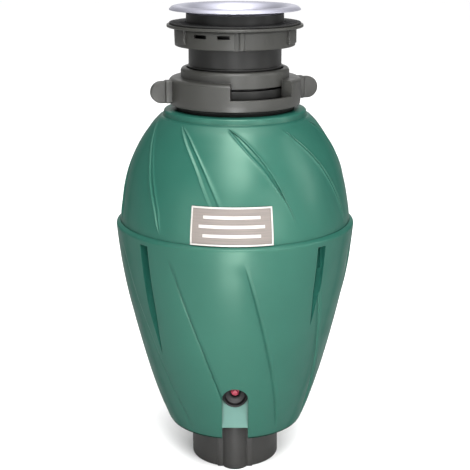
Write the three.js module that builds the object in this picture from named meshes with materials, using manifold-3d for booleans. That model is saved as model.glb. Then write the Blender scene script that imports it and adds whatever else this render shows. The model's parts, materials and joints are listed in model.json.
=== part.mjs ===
// Kitchen garbage disposal (continuous feed, twist-lock sink mount), in millimetres.
// Frame: origin at the centre of the base's underside, +Z up, front of the object towards -Y.
// Angles about Z are measured from the front (-Y) towards +X.
import * as THREE from "three";
import { mergeVertices } from "three/addons/utils/BufferGeometryUtils.js";
import Module from "manifold-3d";

const wasm = await Module();
wasm.setup();

// ---------------------------------------------------------------- driving dimensions
const GAP = 0.3;                 // air left between pieces that touch
const WALL = 2.6;                // moulded shell wall

const SINK_RIM_R = 57.15;        // a standard 114.3 mm (4 1/2 in) sink flange
const SINK_RIM_TOP_Z = 419;      // crest of the rolled rim
const SINK_SEAT_Z = 415.3;
const THROAT_R = 39.2;           // clear bore down the sink flange

const SLEEVE_R = 42.6;           // threaded sleeve under the sink flange
const SLEEVE_NECK_R = 40.7;
const SLEEVE_FOOT_Z = 343;

const BACKUP_R = 59.5;
const BACKUP_Z = 400.6;
const BACKUP_THICK = 2.6;

const NUT_R = 53;
const NUT_Z0 = 384.7;
const NUT_Z1 = BACKUP_Z - GAP;

const RING_R = 57.9;             // twist-lock mounting ring, outer band
const RING_TIER_R = 47.7;        // its upper tier
const RING_Z0 = 336.2;
const RING_BAND_Z = 357;
const RING_TOP_Z = 366;
const RING_EAR_REACH = 76;
const RING_EAR_ANGLE = -75;
const RING_WINDOW = [-4, 57.5];  // angles between which the band is cut down to a low lip

const SHELL_TOP_Z = 329.5;
const SHELL_MOUTH_R = 51.2;
const SEAM_Z = 227;              // the upper shell stands on the lower shell here
const SHELL_LIP_Z = 230.6;       // the lower shell's lip stands round the upper shell's foot
const SHELL_BOTTOM_Z = 37.8;

const BASE_R = 40.2;
const BASE_TOP_Z = 46;
const BASE_RIB_R = 12.2;
const BASE_RIB_FRONT = 45;

const RESET_Z = 85;              // reset button's axis, along Y
const RESET_HOLE_R = 12.25;
const RESET_FLOOR_Y = -66;       // flat floor of the channel under the reset hole
const RESET_FLOOR_Z0 = 51.6;

const CAN_R = 46;                // motor can
const CAN_Z0 = 56;
const CAN_Z1 = 169.7;
const SHAFT_R = 6;
const CORE_R = 34;

const BOWL_R = 87;               // drain chamber and grinding chamber outside
const BOWL_Z0 = 170;
const BOWL_Z1 = 226;
const OUTLET_Z = 199;
const OUTLET_R = 22;
const OUTLET_BORE_R = 18.5;
const OUTLET_END_Y = 121;
const INLET_Z = 268;             // dishwasher inlet, level, at the back over the outlet
const INLET_R = 11;
const INLET_BORE_R = 7.5;
const INLET_ANGLE = 180;
const INLET_REACH = 121;

const TABLE_R = 78;              // turntable
const TABLE_Z = 229;
const TABLE_THICK = 3;
const IMPELLER_PIN_R = 44;       // distance of the impeller pins from the shaft
const IMPELLER_REACH = 29;

const ROUND = 28;                // facets round a turned piece
const ROUND_SHELL = 32;          // facets round the two shells
const ROUND_SMALL = 16;

// ---------------------------------------------------------------- solids and placing
const rad = THREE.MathUtils.degToRad;

// A point at radius r, angle a (degrees from the front) and height z.
function polar(r, a, z = 0) {
  return new THREE.Vector3(r * Math.sin(rad(a)), -r * Math.cos(rad(a)), z);
}

// Turns a closed three.js geometry into a manifold solid with its faces pointing out.
function solid(geometry) {
  const bare = geometry.clone();
  bare.deleteAttribute("normal");
  bare.deleteAttribute("uv");
  const merged = mergeVertices(bare, 1e-4);
  const points = merged.attributes.position.array;
  const faces = [];
  let volume = 0;
  const [a, b, c] = [new THREE.Vector3(), new THREE.Vector3(), new THREE.Vector3()];
  for (let i = 0; i < merged.index.count; i += 3) {
    const face = [merged.index.getX(i), merged.index.getX(i + 1), merged.index.getX(i + 2)];
    if (new Set(face).size < 3) continue;
    faces.push(...face);
    a.fromArray(points, 3 * face[0]);
    b.fromArray(points, 3 * face[1]);
    c.fromArray(points, 3 * face[2]);
    volume += a.dot(b.cross(c));
  }
  if (volume < 0) faces.reverse();
  const mesh = new wasm.Mesh({
    numProp: 3, vertProperties: new Float32Array(points), triVerts: new Uint32Array(faces),
  });
  return new wasm.Manifold(mesh);
}

// Turned solid about Z from a closed outline of [radius, z] corners.
function turned(outline, facets = ROUND) {
  const closed = [...outline, outline[0]].map(([r, z]) => new THREE.Vector2(r, z));
  return solid(new THREE.LatheGeometry(closed, facets).rotateX(Math.PI / 2));
}

// Ring or tube about Z between two radii and two heights.
function tube(inner, outer, z0, z1, facets = ROUND) {
  return turned([[inner, z0], [outer, z0], [outer, z1], [inner, z1]], facets);
}

// Cylinder about Z.
function disc(r, z0, z1, facets = ROUND_SMALL) {
  const geometry = new THREE.CylinderGeometry(r, r, z1 - z0, facets).rotateX(Math.PI / 2);
  return solid(geometry.translate(0, 0, (z0 + z1) / 2));
}

// Cylinder with a level axis from radius near to radius far, at an angle and a height.
function spoke(r, near, far, angle, z, facets = ROUND_SMALL) {
  const geometry = new THREE.CylinderGeometry(r, r, far - near, facets);
  geometry.translate(0, -(near + far) / 2, 0).rotateZ(rad(angle)).translate(0, 0, z);
  return solid(geometry);
}

// Box between two corners, turned about Z by an angle.
function box([x0, y0, z0], [x1, y1, z1], angle = 0) {
  const geometry = new THREE.BoxGeometry(x1 - x0, y1 - y0, z1 - z0);
  geometry.translate((x0 + x1) / 2, (y0 + y1) / 2, (z0 + z1) / 2).rotateZ(rad(angle));
  return solid(geometry);
}

// Upright prism of a plan outline, given as a THREE.Shape.
function prism(shape, z0, z1, curveSegments = 8) {
  const options = { depth: z1 - z0, bevelEnabled: false, curveSegments };
  return solid(new THREE.ExtrudeGeometry(shape, options).translate(0, 0, z0));
}

// Wedge of space between two angles, used to keep or cut a sector.
function wedge(from, to, reach, z0, z1) {
  const steps = Math.ceil((to - from) / 30);
  const shape = new THREE.Shape().moveTo(0, 0);
  for (let i = 0; i <= steps; i++) {
    const p = polar(reach * 1.2, from + (to - from) * i / steps);
    shape.lineTo(p.x, p.y);
  }
  return prism(shape, z0, z1);
}

const group = new THREE.Group();

function material(color, roughness, metalness = 0) {
  return new THREE.MeshStandardMaterial({ color, roughness, metalness });
}
const steel = material(0xc9cccd, 0.25, 1);
const darkSteel = material(0x4c4c4a, 0.45, 0.7);
const greenShell = material(0x54897b, 0.35);
const darkPlastic = material(0x424241, 0.5);
const blackPlastic = material(0x1c1c1b, 0.5);
const collarPlastic = material(0x53544f, 0.45);
const rubber = material(0x161616, 0.8);
const copper = material(0xb06a3a, 0.4, 1);
const iron = material(0x7c7e80, 0.5, 0.9);
const ferrite = material(0x2c2c2e, 0.7);
const carbon = material(0x1f1f20, 0.8);
const redPlastic = material(0xc03a4a, 0.4);
const badgePanel = material(0xa59792, 0.4, 0.6);
const board = material(0x3c6b45, 0.6);

// Adds a manifold solid to the object as a named mesh.
function add(name, shape, look, parent = group) {
  const { numProp, vertProperties, triVerts } = shape.getMesh();
  const positions = new Float32Array(vertProperties.length / numProp * 3);
  for (let i = 0; i < positions.length / 3; i++) {
    for (let k = 0; k < 3; k++) positions[3 * i + k] = vertProperties[numProp * i + k];
  }
  const geometry = new THREE.BufferGeometry();
  geometry.setAttribute("position", new THREE.BufferAttribute(positions, 3));
  geometry.setIndex(new THREE.BufferAttribute(new Uint32Array(triVerts), 1));
  geometry.computeVertexNormals();
  const mesh = new THREE.Mesh(geometry, look);
  mesh.name = name;
  parent.add(mesh);
  return mesh;
}

// ---------------------------------------------------------------- sink mount
// Polished dish with a rolled rim and a short bore that drops into the sleeve.
function sinkFlange() {
  const outline = [
    [SINK_RIM_R, SINK_SEAT_Z], [SINK_RIM_R, 416], [54.5, 418.2], [50.5, SINK_RIM_TOP_Z],
    [46.5, 418.2], [43, 415.6], [40.6, 412.4], [THROAT_R, 408.5], [THROAT_R, 392],
    [THROAT_R + 1, 392], [THROAT_R + 1, 408.6], [41.6, 411.6], [41.6, 412.7], [44.5, 413.6],
    [47, SINK_SEAT_Z],
  ];
  add("sink_flange", turned(outline), steel);
}

// Threaded sleeve: threads above, a smooth neck, and a foot that the mounting ring grips.
function flangeSleeve() {
  const bore = THROAT_R + 1 + GAP;
  const outline = [
    [bore, 408.5], [41.9, 411], [41.9, 412.4], [SLEEVE_R, 412.4], [SLEEVE_R, NUT_Z0],
    [SLEEVE_NECK_R + 1, NUT_Z0 - 1],
    [SLEEVE_NECK_R, 352], [46.8, 352], [46.8, SLEEVE_FOOT_Z], [42.5, SLEEVE_FOOT_Z],
    [THROAT_R - 0.4, 349], [THROAT_R - 0.4, 388], [bore, 389.5],
  ];
  add("flange_sleeve", turned(outline), blackPlastic);
}

function fibreGasket() {
  const z0 = BACKUP_Z + BACKUP_THICK + GAP;
  add("fibre_gasket", tube(SLEEVE_R + GAP, 57.2, z0, z0 + 1.3), rubber);
}

function backupFlange() {
  const z1 = BACKUP_Z + BACKUP_THICK;
  const outline = [
    [SLEEVE_R + GAP, BACKUP_Z], [BACKUP_R, BACKUP_Z], [BACKUP_R, z1 - 0.7], [BACKUP_R - 0.8, z1],
    [SLEEVE_R + GAP, z1],
  ];
  add("backup_flange", turned(outline), darkSteel);
}

// Cup-shaped nut that screws up the sleeve, with grip ribs round it.
function mountingNut() {
  const bore = SLEEVE_R + GAP;
  let nut = turned([
    [bore, NUT_Z0], [NUT_R - 1.2, NUT_Z0], [NUT_R, NUT_Z0 + 1.2], [NUT_R, NUT_Z1],
    [NUT_R - 3, NUT_Z1], [NUT_R - 3, NUT_Z0 + 4], [bore, NUT_Z0 + 4],
  ]);
  const ribAngles = [-62, 5, 60, 120, 180, 240];
  for (const angle of ribAngles) {
    const rib = box([-3, -NUT_R - 1.6, NUT_Z0 + 1], [3, -NUT_R + 2, NUT_Z1 - 0.4], angle);
    nut = nut.add(rib);
  }
  const slotAngles = [-34, -10.5, 95, 150, 210];
  for (const angle of slotAngles) {
    const slot = box([-5.4, -NUT_R - 3, NUT_Z1 - 6.1], [5.4, -NUT_R + 4.5, NUT_Z1 - 3.1], angle);
    nut = nut.subtract(slot);
  }
  add("mounting_nut", nut, darkPlastic);
}

// One ear of the ring: an upright paddle with a round end.
function ringEar(angle) {
  const half = 9.7;
  const shape = new THREE.Shape();
  shape.moveTo(RING_R - 8, -half).lineTo(RING_EAR_REACH - half, -half);
  shape.absarc(RING_EAR_REACH - half, 0, half, -Math.PI / 2, Math.PI / 2, false);
  shape.lineTo(RING_R - 8, half).closePath();
  const options = { depth: 6, bevelEnabled: false, curveSegments: 8 };
  const geometry = new THREE.ExtrudeGeometry(shape, options).translate(0, 0, -3);
  geometry.rotateX(Math.PI / 2).rotateZ(rad(angle - 90)).translate(0, 0, RING_Z0 + half);
  return solid(geometry);
}

// Twist-lock ring: holds the sleeve's foot from above and the hopper's bead from below.
function mountingRing() {
  const bore = 54.2;
  const outer = turned([
    [0, RING_Z0], [RING_R, RING_Z0], [RING_R, RING_BAND_Z - 3.4], [RING_R - 3.4, RING_BAND_Z],
    [RING_TIER_R, RING_BAND_Z], [RING_TIER_R, RING_TOP_Z - 3], [44.6, RING_TOP_Z], [0, RING_TOP_Z],
  ]);
  const [from, to] = RING_WINDOW;
  const cut = tube(RING_TIER_R, RING_R + 5, 344, RING_TOP_Z).intersect(wedge(from, to, 80, 340, 370));
  const slot = tube(40, RING_R, 344, 352.3).intersect(wedge(from, to, 80, 340, 353));
  let ring = outer.add(ringEar(RING_EAR_ANGLE)).add(ringEar(RING_EAR_ANGLE + 180));
  ring = ring.subtract(disc(42.3 + GAP, RING_Z0 - 1, RING_TOP_Z + 1, ROUND));
  ring = ring.subtract(disc(47.2, 340, 352.3, ROUND)).subtract(disc(bore, RING_Z0 - 1, 343, ROUND));
  for (const angle of [20, 140, 260]) {
    const lip = tube(50.4, bore + 1, RING_Z0, RING_Z0 + 1.2);
    ring = ring.add(lip.intersect(wedge(angle, angle + 24, 80, 330, 345)));
  }
  add("mounting_ring", ring.subtract(cut).subtract(slot), collarPlastic);
}

// Rubber cushion between the hopper neck, the shell and the ring.
function neckCushion() {
  const z0 = SHELL_TOP_Z + GAP;
  const outline = [
    [50, z0], [54.6, z0], [52.4, RING_Z0 - GAP], [50, RING_Z0 - GAP],
  ];
  add("neck_cushion", turned(outline), rubber);
}

// Rubber baffle in the throat: a collar with a disc cut into flaps.
function splashGuard() {
  const outer = THROAT_R - 0.4 - GAP;
  let guard = turned([
    [6, 352], [6, 350.4], [outer - 2.2, 353.4], [outer - 2.2, 341.2], [44, 341.2], [44, 342.5],
    [outer, 342.6], [outer, 360], [outer - 2, 360], [outer - 2.4, 355.4],
  ]);
  for (let i = 0; i < 6; i++) {
    guard = guard.subtract(box([-0.7, -30, 349], [0.7, -4, 357], 60 * i));
  }
  add("splash_guard", guard, rubber);
}

// ---------------------------------------------------------------- grinding chamber
// Dome that leads from the neck down to the grinding ring, with the dishwasher inlet.
function hopper() {
  const outside = [
    [BOWL_R, BOWL_Z1 + GAP], [BOWL_R, 260], [79, 282], [63, 303], [49.7, 316],
    [49.7, RING_Z0 + 1.6], [53.4, RING_Z0 + 2.2], [53.4, 340.6],
  ];
  const inside = [
    [47.3, 340.6], [47.3, 314.6], [61.4, 300.6], [76.6, 280.6], [BOWL_R - 2.4, 258.6],
    [BOWL_R - 2.4, BOWL_Z1 + GAP],
  ];
  const hollow = turned([[0, BOWL_Z1], [BOWL_R - 1, BOWL_Z1], [BOWL_R - 1, 258.6], [77.8, 281], [0, 281]]);
  const inlet = spoke(INLET_R, 70, INLET_REACH, INLET_ANGLE, INLET_Z, 16).subtract(hollow);
  const bore = spoke(INLET_BORE_R, 60, INLET_REACH + 1, INLET_ANGLE, INLET_Z, 16);
  add("hopper", turned([...outside, ...inside]).add(inlet).subtract(bore), darkPlastic);
}

// Stationary ring with notches that the waste is ground against.
function shredderRing() {
  const outer = BOWL_R - 2.4 - GAP;
  let ring = tube(outer - 3, outer, TABLE_Z - 2, TABLE_Z + 26);
  for (let i = 0; i < 12; i++) {
    ring = ring.subtract(box([-3, -outer - 1, TABLE_Z + 3], [3, -outer + 4, TABLE_Z + 12], 30 * i));
  }
  add("shredder_ring", ring, steel);
}

// Bowl under the turntable, with the outlet to the drain at the back.
function drainChamber() {
  const wall = 3;
  const hub = 20;
  let bowl = turned([
    [SHAFT_R + 3, BOWL_Z0], [60, BOWL_Z0], [BOWL_R - 6, BOWL_Z0 + 4], [BOWL_R, BOWL_Z0 + 12],
    [BOWL_R, BOWL_Z1], [BOWL_R - wall, BOWL_Z1], [BOWL_R - wall, BOWL_Z0 + 14],
    [BOWL_R - 9, BOWL_Z0 + 7], [58, BOWL_Z0 + wall], [hub, BOWL_Z0 + wall], [hub, BOWL_Z0 + 30],
    [SHAFT_R + 3, BOWL_Z0 + 30],
  ]);
  const outlet = spoke(OUTLET_R, 70, OUTLET_END_Y, 180, OUTLET_Z);
  const inside = disc(BOWL_R - wall, BOWL_Z0 + 5, BOWL_Z1, ROUND);
  bowl = bowl.add(outlet.subtract(inside));
  const bore = spoke(OUTLET_BORE_R, 60, OUTLET_END_Y + 1, 180, OUTLET_Z);
  add("drain_chamber", bowl.subtract(bore), darkPlastic);
}

// Flange that clamps the drain pipe to the outlet, with two ears for its screws.
function outletFlange() {
  const y1 = OUTLET_END_Y - 1;
  const y0 = y1 - 4;
  let plate = spoke(OUTLET_R + 8, y0, y1, 180, OUTLET_Z, 20);
  for (const side of [-1, 1]) {
    plate = plate.add(spoke(8, y0, y1, 180, OUTLET_Z).translate([side * 33, 0, 0]));
  }
  plate = plate.add(box([-33, y0, OUTLET_Z - 8], [33, y1, OUTLET_Z + 8]));
  for (const side of [-1, 1]) {
    plate = plate.subtract(spoke(2.8, y0 - 1, y1 + 1, 180, OUTLET_Z, 8).translate([side * 34, 0, 0]));
  }
  add("outlet_flange", plate.subtract(spoke(OUTLET_R + GAP, y0 - 1, y1 + 1, 180, OUTLET_Z)), steel);
}

function shaftSeal() {
  add("shaft_seal", tube(SHAFT_R + GAP, 13, BOWL_Z0 + 30 + GAP, BOWL_Z0 + 38), rubber);
}

// Plate that spins the waste outwards, with holes that let the water through.
function turntable() {
  let plate = turned([
    [SHAFT_R + GAP, TABLE_Z - 8], [15, TABLE_Z - 8], [15, TABLE_Z], [TABLE_R, TABLE_Z],
    [TABLE_R, TABLE_Z + TABLE_THICK], [SHAFT_R + GAP, TABLE_Z + TABLE_THICK],
  ]);
  for (let i = 0; i < 8; i++) {
    const p = polar(66, 22.5 + 45 * i);
    plate = plate.subtract(disc(3.5, TABLE_Z - 1, TABLE_Z + TABLE_THICK + 1, 8).translate([p.x, p.y, 0]));
  }
  for (const angle of [90, 270]) {
    const p = polar(IMPELLER_PIN_R, angle);
    plate = plate.subtract(disc(3 + GAP, TABLE_Z - 1, TABLE_Z + 9, 12).translate([p.x, p.y, 0]));
  }
  add("turntable", plate, steel);
}

function turntableNut() {
  const z0 = TABLE_Z + TABLE_THICK + GAP;
  add("turntable_nut", disc(11, z0, z0 + 7, 6).subtract(disc(SHAFT_R + GAP, z0 - 1, z0 + 8)), steel);
}

// Swivelling lug that throws the waste against the ring, and the rivet that it turns on.
function impeller(number, angle) {
  const z0 = TABLE_Z + TABLE_THICK + GAP;
  const pinHead = z0 + 8 + GAP;
  const outline = new THREE.Shape().absarc(0, 0, 9, -Math.PI * 0.6, Math.PI * 0.6, true);
  outline.lineTo(IMPELLER_REACH - 2, 7).lineTo(IMPELLER_REACH, 4).lineTo(IMPELLER_REACH, -4);
  outline.lineTo(IMPELLER_REACH - 2, -7).closePath();
  const swing = (shape) => {
    const p = polar(IMPELLER_PIN_R, angle);
    return shape.rotate([0, 0, angle - 90]).translate([p.x, p.y, 0]);
  };
  let lug = prism(outline, z0, z0 + 8, 8);
  lug = lug.add(box([IMPELLER_REACH - 7, -6, z0 + 7], [IMPELLER_REACH - 0.5, 6, z0 + 17]));
  add(`impeller_${number}`, swing(lug.subtract(disc(3 + GAP, z0 - 1, z0 + 9, 12))), steel);
  const pin = turned([
    [0, TABLE_Z - 2], [5, TABLE_Z - 2], [5, TABLE_Z - GAP], [3, TABLE_Z - GAP], [3, pinHead], [5.5, pinHead],
    [4.5, pinHead + 2], [0, pinHead + 2.4],
  ], 12);
  add(`impeller_pin_${number}`, swing(pin), steel);
}

// ---------------------------------------------------------------- motor
function motorCan() {
  const can = turned([
    [CAN_R - 2, CAN_Z0], [CAN_R, CAN_Z0], [CAN_R, CAN_Z1], [22, CAN_Z1], [22, CAN_Z1 - 2],
    [CAN_R - 2, CAN_Z1 - 2],
  ]);
  add("motor_can", can, iron);
}

function magnets() {
  const inner = CORE_R + 1.5;
  const outer = CAN_R - 2 - GAP;
  for (const [number, from] of [[1, -65], [2, 115]]) {
    const magnet = tube(inner, outer, 78, 142).intersect(wedge(from, from + 130, 60, 70, 150));
    add(`magnet_${number}`, magnet, ferrite);
  }
}

// Plate that closes the bottom of the motor, with the seat of the lower bearing.
function lowerEndBell() {
  const bearing = 13 + GAP;
  const outline = [
    [SHAFT_R + 2, 47.3], [30, 47.3], [CAN_R + 4, 52.3], [CAN_R + 4, CAN_Z0 - GAP],
    [bearing + 3, CAN_Z0 - GAP], [bearing + 3, 60], [bearing, 60], [bearing, 50], [SHAFT_R + 2, 50],
  ];
  add("lower_end_bell", turned(outline), darkSteel);
}

function bearing(name, z0) {
  const outline = [
    [SHAFT_R + GAP, z0], [8.4, z0], [8.6, z0 + 0.8], [11, z0 + 0.8], [11.4, z0], [13, z0],
    [13, z0 + 8], [SHAFT_R + GAP, z0 + 8],
  ];
  add(name, turned(outline, ROUND_SMALL), steel);
}

// Seat that holds the upper bearing in the mouth of the motor can.
function upperBearingSeat() {
  const seat = turned([
    [13 + GAP, 157], [17, 157], [17, 164], [CAN_R - 8, 164], [CAN_R - 8, CAN_Z1 - 2 - GAP],
    [9, CAN_Z1 - 2 - GAP], [9, 165.7], [13 + GAP, 165.7],
  ], ROUND_SMALL);
  add("upper_bearing_seat", seat, darkSteel);
}

function rotorShaft() {
  const shaft = turned([
    [0, 50.6], [SHAFT_R, 50.6], [SHAFT_R, 246], [SHAFT_R - 1, 247], [0, 247],
  ], ROUND_SMALL);
  add("rotor_shaft", shaft, steel);
}

// Laminated core with twelve slots, and the coils that fill them.
const CORE_Z0 = 84;
const CORE_Z1 = 136;
const CORE_SLOTS = 12;

function armatureCore() {
  let core = tube(SHAFT_R + GAP, CORE_R, CORE_Z0, CORE_Z1);
  for (let i = 0; i < CORE_SLOTS; i++) {
    core = core.subtract(box([-3, -CORE_R - 1, CORE_Z0 - 1], [3, -20, CORE_Z1 + 1], 360 / CORE_SLOTS * i));
  }
  add("armature_core", core, iron);
}

function armatureWinding() {
  const headTop = [
    [SHAFT_R + 4, CORE_Z1 + GAP], [29, CORE_Z1 + GAP], [27, CORE_Z1 + 10],
    [SHAFT_R + 6, CORE_Z1 + 12],
  ];
  const headFoot = [
    [SHAFT_R + 4, CORE_Z0 - GAP], [29, CORE_Z0 - GAP], [27, CORE_Z0 - 9],
    [SHAFT_R + 6, CORE_Z0 - 10],
  ];
  let coils = turned(headTop, ROUND_SMALL).add(turned(headFoot, ROUND_SMALL));
  for (let i = 0; i < CORE_SLOTS; i++) {
    const bar = box([-2.6, -28, CORE_Z0 - 2], [2.6, -20.6, CORE_Z1 + 2], 360 / CORE_SLOTS * i);
    coils = coils.add(bar);
  }
  add("armature_winding", coils, copper);
}

function commutator() {
  let drum = tube(SHAFT_R + GAP, 14, 62.5, 73, ROUND_SMALL);
  for (let i = 0; i < 8; i++) {
    drum = drum.subtract(box([-0.5, -15, 61], [0.5, -12.8, 71], 45 * i));
  }
  add("commutator", drum, copper);
}

// A carbon brush in its holder, on each side of the commutator.
function brushes() {
  for (const [side, angle] of [["right", 90], ["left", -90]]) {
    add(`brush_${side}`, box([-3, -30, 64], [3, -14.4, 71], angle), carbon);
    const holder = box([-5, -40, 62], [5, -19, 73], angle);
    const pocket = box([-3 - GAP, -38, 64 - GAP], [3 + GAP, -18, 71 + GAP], angle);
    add(`brush_holder_${side}`, holder.subtract(pocket), darkPlastic);
  }
}

// Bridge rectifier and its board, in the base under the motor.
function rectifierBoard() {
  const plate = box([-20, -18, 12], [20, 12, 14]);
  const block = box([-10, -8, 13], [10, 6, 24]);
  const terminal = box([-17, 7, 13], [-4, 11, 22]);
  add("rectifier_board", plate.add(block).add(terminal), board);
}

// ---------------------------------------------------------------- reset switch
const BUTTON_TRAVEL = 2.5;
const BUTTON_FACE_Y = -65;

function resetBezel() {
  const outer = RESET_HOLE_R - GAP;
  const outline = [
    [outer, 58.6], [outer, 67.2], [10.6, 67.8], [9.9, 67.2], [8, 65.6], [5.1, 63.6], [5.1, 58.6],
  ];
  const points = [...outline, outline[0]].map(([r, reach]) => new THREE.Vector2(r, -reach));
  const bezel = solid(new THREE.LatheGeometry(points, 24));
  add("reset_bezel", bezel.translate([0, 0, RESET_Z]), blackPlastic);
}

function resetButton() {
  const outline = [
    [0, BUTTON_FACE_Y], [2.8, BUTTON_FACE_Y], [3.65, BUTTON_FACE_Y + 0.8], [3.65, -62.6],
    [4.8, -62.6], [4.8, -61], [0, -61],
  ];
  const points = outline.map(([r, y]) => new THREE.Vector2(r, y));
  const button = solid(new THREE.LatheGeometry(points, ROUND_SMALL));
  add("reset_button", button.translate([0, 0, RESET_Z]), redPlastic);
}

// Thermal overload switch behind the button, which trips when the motor jams.
function overloadSwitch() {
  const body = box([-11, -61 + BUTTON_TRAVEL + GAP, RESET_Z - 9], [11, -CAN_R - 1.5, RESET_Z + 9]);
  add("overload_switch", body, darkPlastic);
}

// ---------------------------------------------------------------- housing
const UPPER_OUTSIDE = [
  [103.2, SEAM_Z], [103, 236], [98, 265], [93.7, 280], [86.7, 295], [76.7, 310], [70.8, 322],
];
const LOWER_OUTSIDE = [
  [61, SHELL_BOTTOM_Z], [70.4, 60], [78.5, 85], [85.1, 110], [99.8, 170], [104.5, 200], [107.2, 226],
];
const POCKETS = [
  { angle: -46.6, tip: 89.2, full: 98.6 }, { angle: 43.5, tip: 96.5, full: 102.6 },
  { angle: 133.4, tip: 89.2, full: 98.6 }, { angle: 223.5, tip: 96.5, full: 102.6 },
];
const POCKET_HALF = 4.65;
const POCKET_TOP_Z = 223.6;
const SCREW_R = 99.2;

// Radius of a shell's outside at a height, between the corners of its outline.
function radiusAt(outside, z) {
  const i = Math.max(1, outside.findIndex(([, height]) => height >= z));
  const [[r0, z0], [r1, z1]] = [outside[i - 1], outside[i]];
  return r0 + (r1 - r0) * (z - z0) / (z1 - z0);
}

function upperShell() {
  const crown = [
    [69.4, 324], [62.9, 324.2], [62.9, SHELL_TOP_Z], [SHELL_MOUTH_R, SHELL_TOP_Z],
    [SHELL_MOUTH_R, SHELL_TOP_Z - WALL], [60, SHELL_TOP_Z - WALL], [60, 321.4], [67.8, 320.6],
  ];
  const inside = UPPER_OUTSIDE.slice(0, -1).map(([r, z]) => {
    const lean = Math.max(0, z - 265) / 45;
    return [r - WALL - 0.4 * lean, z - (z > SEAM_Z ? 1.6 * lean : 0)];
  });
  let shell = turned([...UPPER_OUTSIDE, ...crown, ...inside.reverse()], ROUND_SHELL);
  for (const { angle } of POCKETS) {
    const p = polar(SCREW_R - 3.4, angle);
    const boss = disc(5, SEAM_Z, SEAM_Z + 14, 12).translate([p.x, p.y, 0]);
    const hole = polar(SCREW_R, angle);
    shell = shell.add(boss);
    shell = shell.subtract(disc(1.8, SEAM_Z - 1, SEAM_Z + 11, 8).translate([hole.x, hole.y, 0]));
  }
  const lookout = INLET_R + 1.2;
  add("upper_shell", shell.subtract(spoke(lookout, 70, 130, INLET_ANGLE, INLET_Z)), greenShell);
}

// Plan outline of a screw pocket: parallel sides that come to a point near the axis.
function pocketPlan(tip, full, half, reach) {
  return new THREE.Shape().moveTo(-0.4, -tip).lineTo(-half, -full).lineTo(-half, -reach)
    .lineTo(half, -reach).lineTo(half, -full).lineTo(0.4, -tip).closePath();
}

function lowerShell() {
  const lip = [[107.2, 229.6], [106.4, SHELL_LIP_Z], [103.7, SHELL_LIP_Z], [103.7, SEAM_Z - GAP]];
  const ledge = [[100, SEAM_Z - GAP], [100, SEAM_Z - 2.4]];
  const inside = LOWER_OUTSIDE.slice(1).map(([r, z]) => [r - WALL, z - 0.6]);
  inside[inside.length - 1] = [104, SEAM_Z - 5.6];
  const foot = [
    [60, 41.5], [42, 41.5], [42, SHELL_BOTTOM_Z + 0.6], [43, SHELL_BOTTOM_Z],
    [58.6, SHELL_BOTTOM_Z],
  ];
  const outer = [...LOWER_OUTSIDE.slice(1), ...lip, ...ledge, ...inside.reverse(), ...foot, [64.4, 42.6]];
  const top = [[107.2, SEAM_Z - GAP], [0, SEAM_Z - GAP]];
  const filled = turned([[0, 38.4], ...LOWER_OUTSIDE.slice(1), ...top], ROUND_SHELL);
  let shell = turned(outer, ROUND_SHELL);
  for (const { angle, tip, full } of POCKETS) {
    const back = Math.min(tip, SCREW_R - 5) - 2.4;
    const boss = prism(pocketPlan(back, full - 4, POCKET_HALF + 2.2, 120), 118, SEAM_Z - GAP);
    shell = shell.add(boss.rotate([0, 0, angle]).intersect(filled));
  }
  for (const { angle, tip, full } of POCKETS) {
    const pocket = prism(pocketPlan(tip, full, POCKET_HALF, 120), 100, POCKET_TOP_Z);
    const hole = disc(1.9, POCKET_TOP_Z - 1, SEAM_Z + 1, 8).translate([0, -SCREW_R, 0]);
    const well = disc(4.4, 190, POCKET_TOP_Z, 12).translate([0, -SCREW_R, 0]);
    shell = shell.subtract(pocket.add(well).add(hole).rotate([0, 0, angle]));
  }
  add("lower_shell", resetRecess(shell, filled), greenShell);
}

// Reset hole, the flat-floored channel under it, and the notch down to the base.
function resetRecess(shell, filled) {
  const half = RESET_HOLE_R - 0.05;
  const top = RESET_Z + RESET_HOLE_R + 2.4;
  const block = box([-half - 2.4, -90, 47], [half + 2.4, RESET_FLOOR_Y + WALL, top]);
  const channel = box([-half, -100, RESET_FLOOR_Z0], [half, RESET_FLOOR_Y, RESET_Z]);
  const notch = box([-half, -100, 30], [half, -40, RESET_FLOOR_Z0]);
  const hole = spoke(RESET_HOLE_R, 50, 100, 0, RESET_Z, 24);
  return shell.add(block.intersect(filled)).subtract(channel).subtract(notch).subtract(hole)
    .subtract(spoke(OUTLET_R + 2, 70, 130, 180, OUTLET_Z, 20));
}

function shellScrews() {
  const headTop = POCKET_TOP_Z - GAP;
  POCKETS.forEach(({ angle }, index) => {
    const p = polar(SCREW_R, angle);
    const screw = turned([
      [0, headTop - 3.4], [3, headTop - 3.4], [3.8, headTop - 2.6], [3.8, headTop], [1.5, headTop],
      [1.5, SEAM_Z + 8], [0, SEAM_Z + 10],
    ], 10);
    add(`shell_screw_${index + 1}`, screw.translate([p.x, p.y, 0]), steel);
  });
}

// Curved name panel, standing proud of the upper shell.
const BADGE_ANGLES = [-20.9, 17.8];
const BADGE_Z = [SHELL_LIP_Z + 0.5, 263];

function badge() {
  const [z0, z1] = BADGE_Z;
  const heights = [z0, 236, z1];
  const face = (out) => heights.map((z) => [radiusAt(UPPER_OUTSIDE, z) + out, z]);
  const [from, to] = BADGE_ANGLES;
  const band = (out, inset) => turned([...face(out), ...face(inset).reverse()], 80);
  const plate = band(1.4, GAP).intersect(wedge(from, to, 110, z0 - 1, z1 + 1));
  add("badge", plate, badgePanel);
}

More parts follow.
